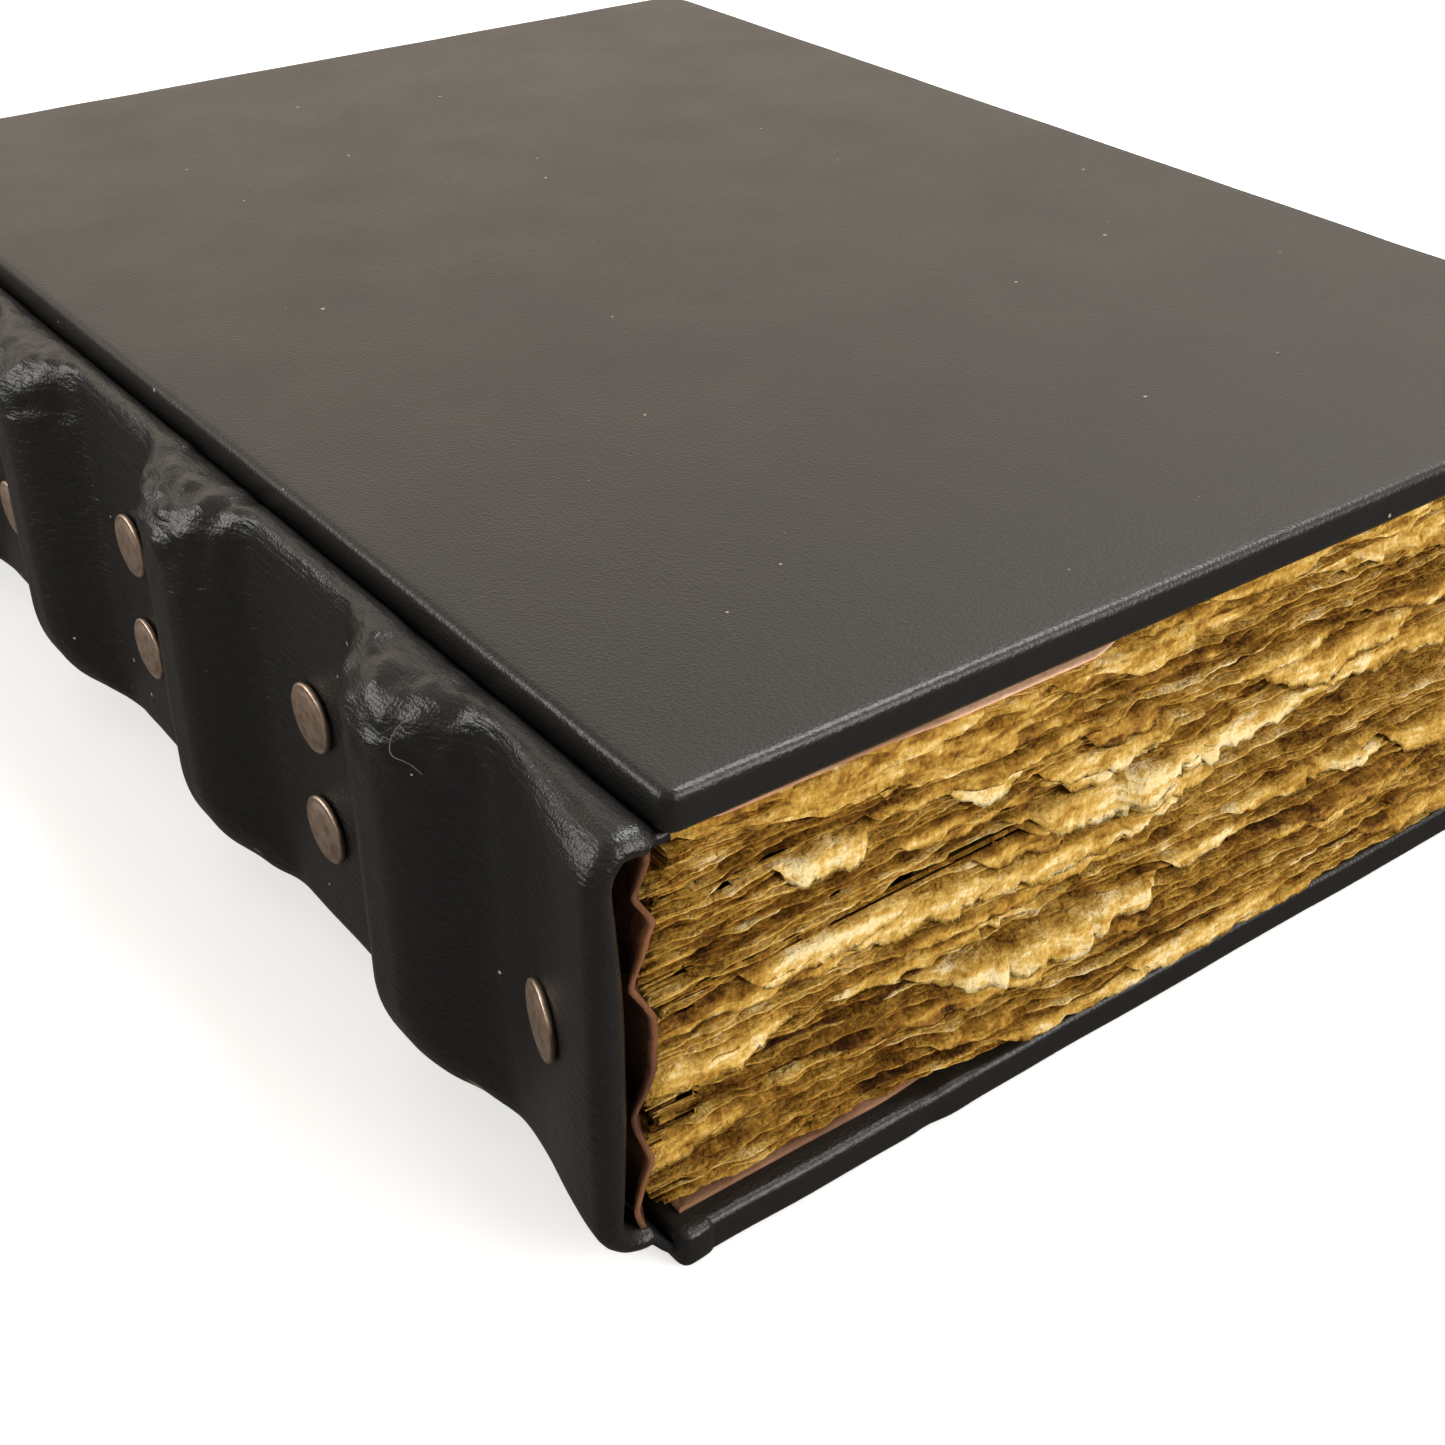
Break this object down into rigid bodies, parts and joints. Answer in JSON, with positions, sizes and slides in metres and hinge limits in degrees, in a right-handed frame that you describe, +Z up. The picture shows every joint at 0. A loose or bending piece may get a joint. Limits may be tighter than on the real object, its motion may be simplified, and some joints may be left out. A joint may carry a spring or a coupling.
{
  "type": "book",
  "caption": "Thick leather-bound book lying on its back cover: hollow spine with raised bands and rivets, uneven torn-edge pages, both covers and the first leaves turning.",
  "frame": {"origin": "middle of the box around the closed book, on the table under the back cover", "axes": "+X from the spine to the fore edge, +Y from tail to head, +Z up from the back cover to the front cover"},
  "size_m": [0.1948, 0.2546, 0.0672],
  "materials": {
    "black_leather": "satin fine grain",
    "tan_leather": "matte suede",
    "core_leather": "matte",
    "board": "matte",
    "bronze": "antiqued",
    "page_paper": "matte fibrous",
    "thread": "waxed linen"
  },
  "bodies": {
    "back_cover": {"back_board": "board", "back_leather": "black_leather", "back_lining": "tan_leather"},
    "spine": {"back_joint_leather": "black_leather", "spine_leather": "black_leather", "spine_stiffener": "board", "band_core_1": "core_leather", "band_core_2": "core_leather", "band_core_3": "core_leather", "band_core_4": "core_leather", "rivet_caps": "bronze", "rivet_backs": "bronze", "spine_liner": "tan_leather", "sewing_thread": "thread", "signature_1": "page_paper", "signature_2": "page_paper", "signature_3": "page_paper", "signature_4": "page_paper", "back_flyleaf": "page_paper", "front_joint_leather": "black_leather"},
    "front_cover": {"front_board": "board", "front_leather": "black_leather", "front_lining": "tan_leather"},
    "flyleaf": {"front_flyleaf": "page_paper"},
    "gathering": {"opening_gathering": "page_paper"},
    "leaf_1": {"leaf_1": "page_paper"},
    "leaf_2": {"leaf_2": "page_paper"},
    "leaf_3": {"leaf_3": "page_paper"},
    "leaf_4": {"leaf_4": "page_paper"},
    "leaf_5": {"leaf_5": "page_paper"}
  },
  "joints": [
    {"name": "back_joint", "type": "hinge", "parent": "back_cover", "child": "spine", "pos_m": [-0.0871, 0, 0.0015], "axis": [0, -1, 0], "range_deg": [0, 90], "deforming": ["back_joint_leather"]},
    {"name": "front_joint", "type": "hinge", "parent": "spine", "child": "front_cover", "pos_m": [-0.0871, 0, 0.0658], "axis": [0, -1, 0], "range_deg": [0, 180], "deforming": ["front_joint_leather"]},
    {"name": "flyleaf_turn", "type": "hinge", "parent": "spine", "child": "flyleaf", "pos_m": [-0.0871, 0, 0.0658], "axis": [0, -1, 0], "range_deg": [0, 176.9]},
    {"name": "gathering_turn", "type": "hinge", "parent": "spine", "child": "gathering", "pos_m": [-0.0871, 0, 0.0658], "axis": [0, -1, 0], "range_deg": [0, 169.7]},
    {"name": "leaf_1_turn", "type": "hinge", "parent": "spine", "child": "leaf_1", "pos_m": [-0.0871, 0, 0.0658], "axis": [0, -1, 0], "range_deg": [0, 151.7]},
    {"name": "leaf_2_turn", "type": "hinge", "parent": "spine", "child": "leaf_2", "pos_m": [-0.0871, 0, 0.0658], "axis": [0, -1, 0], "range_deg": [0, 126.5]},
    {"name": "leaf_3_turn", "type": "hinge", "parent": "spine", "child": "leaf_3", "pos_m": [-0.0871, 0, 0.0658], "axis": [0, -1, 0], "range_deg": [0, 97.7]},
    {"name": "leaf_4_turn", "type": "hinge", "parent": "spine", "child": "leaf_4", "pos_m": [-0.0871, 0, 0.0658], "axis": [0, -1, 0], "range_deg": [0, 67.1]},
    {"name": "leaf_5_turn", "type": "hinge", "parent": "spine", "child": "leaf_5", "pos_m": [-0.0871, 0, 0.0658], "axis": [0, -1, 0], "range_deg": [0, 34.7]}
  ],
  "couplings": [
    {"joint": "flyleaf_turn", "follows": "front_joint", "ratio": 0.98},
    {"joint": "gathering_turn", "follows": "front_joint", "ratio": 0.94},
    {"joint": "leaf_1_turn", "follows": "front_joint", "ratio": 0.84},
    {"joint": "leaf_2_turn", "follows": "front_joint", "ratio": 0.7},
    {"joint": "leaf_3_turn", "follows": "front_joint", "ratio": 0.54},
    {"joint": "leaf_4_turn", "follows": "front_joint", "ratio": 0.37},
    {"joint": "leaf_5_turn", "follows": "front_joint", "ratio": 0.19}
  ]
}
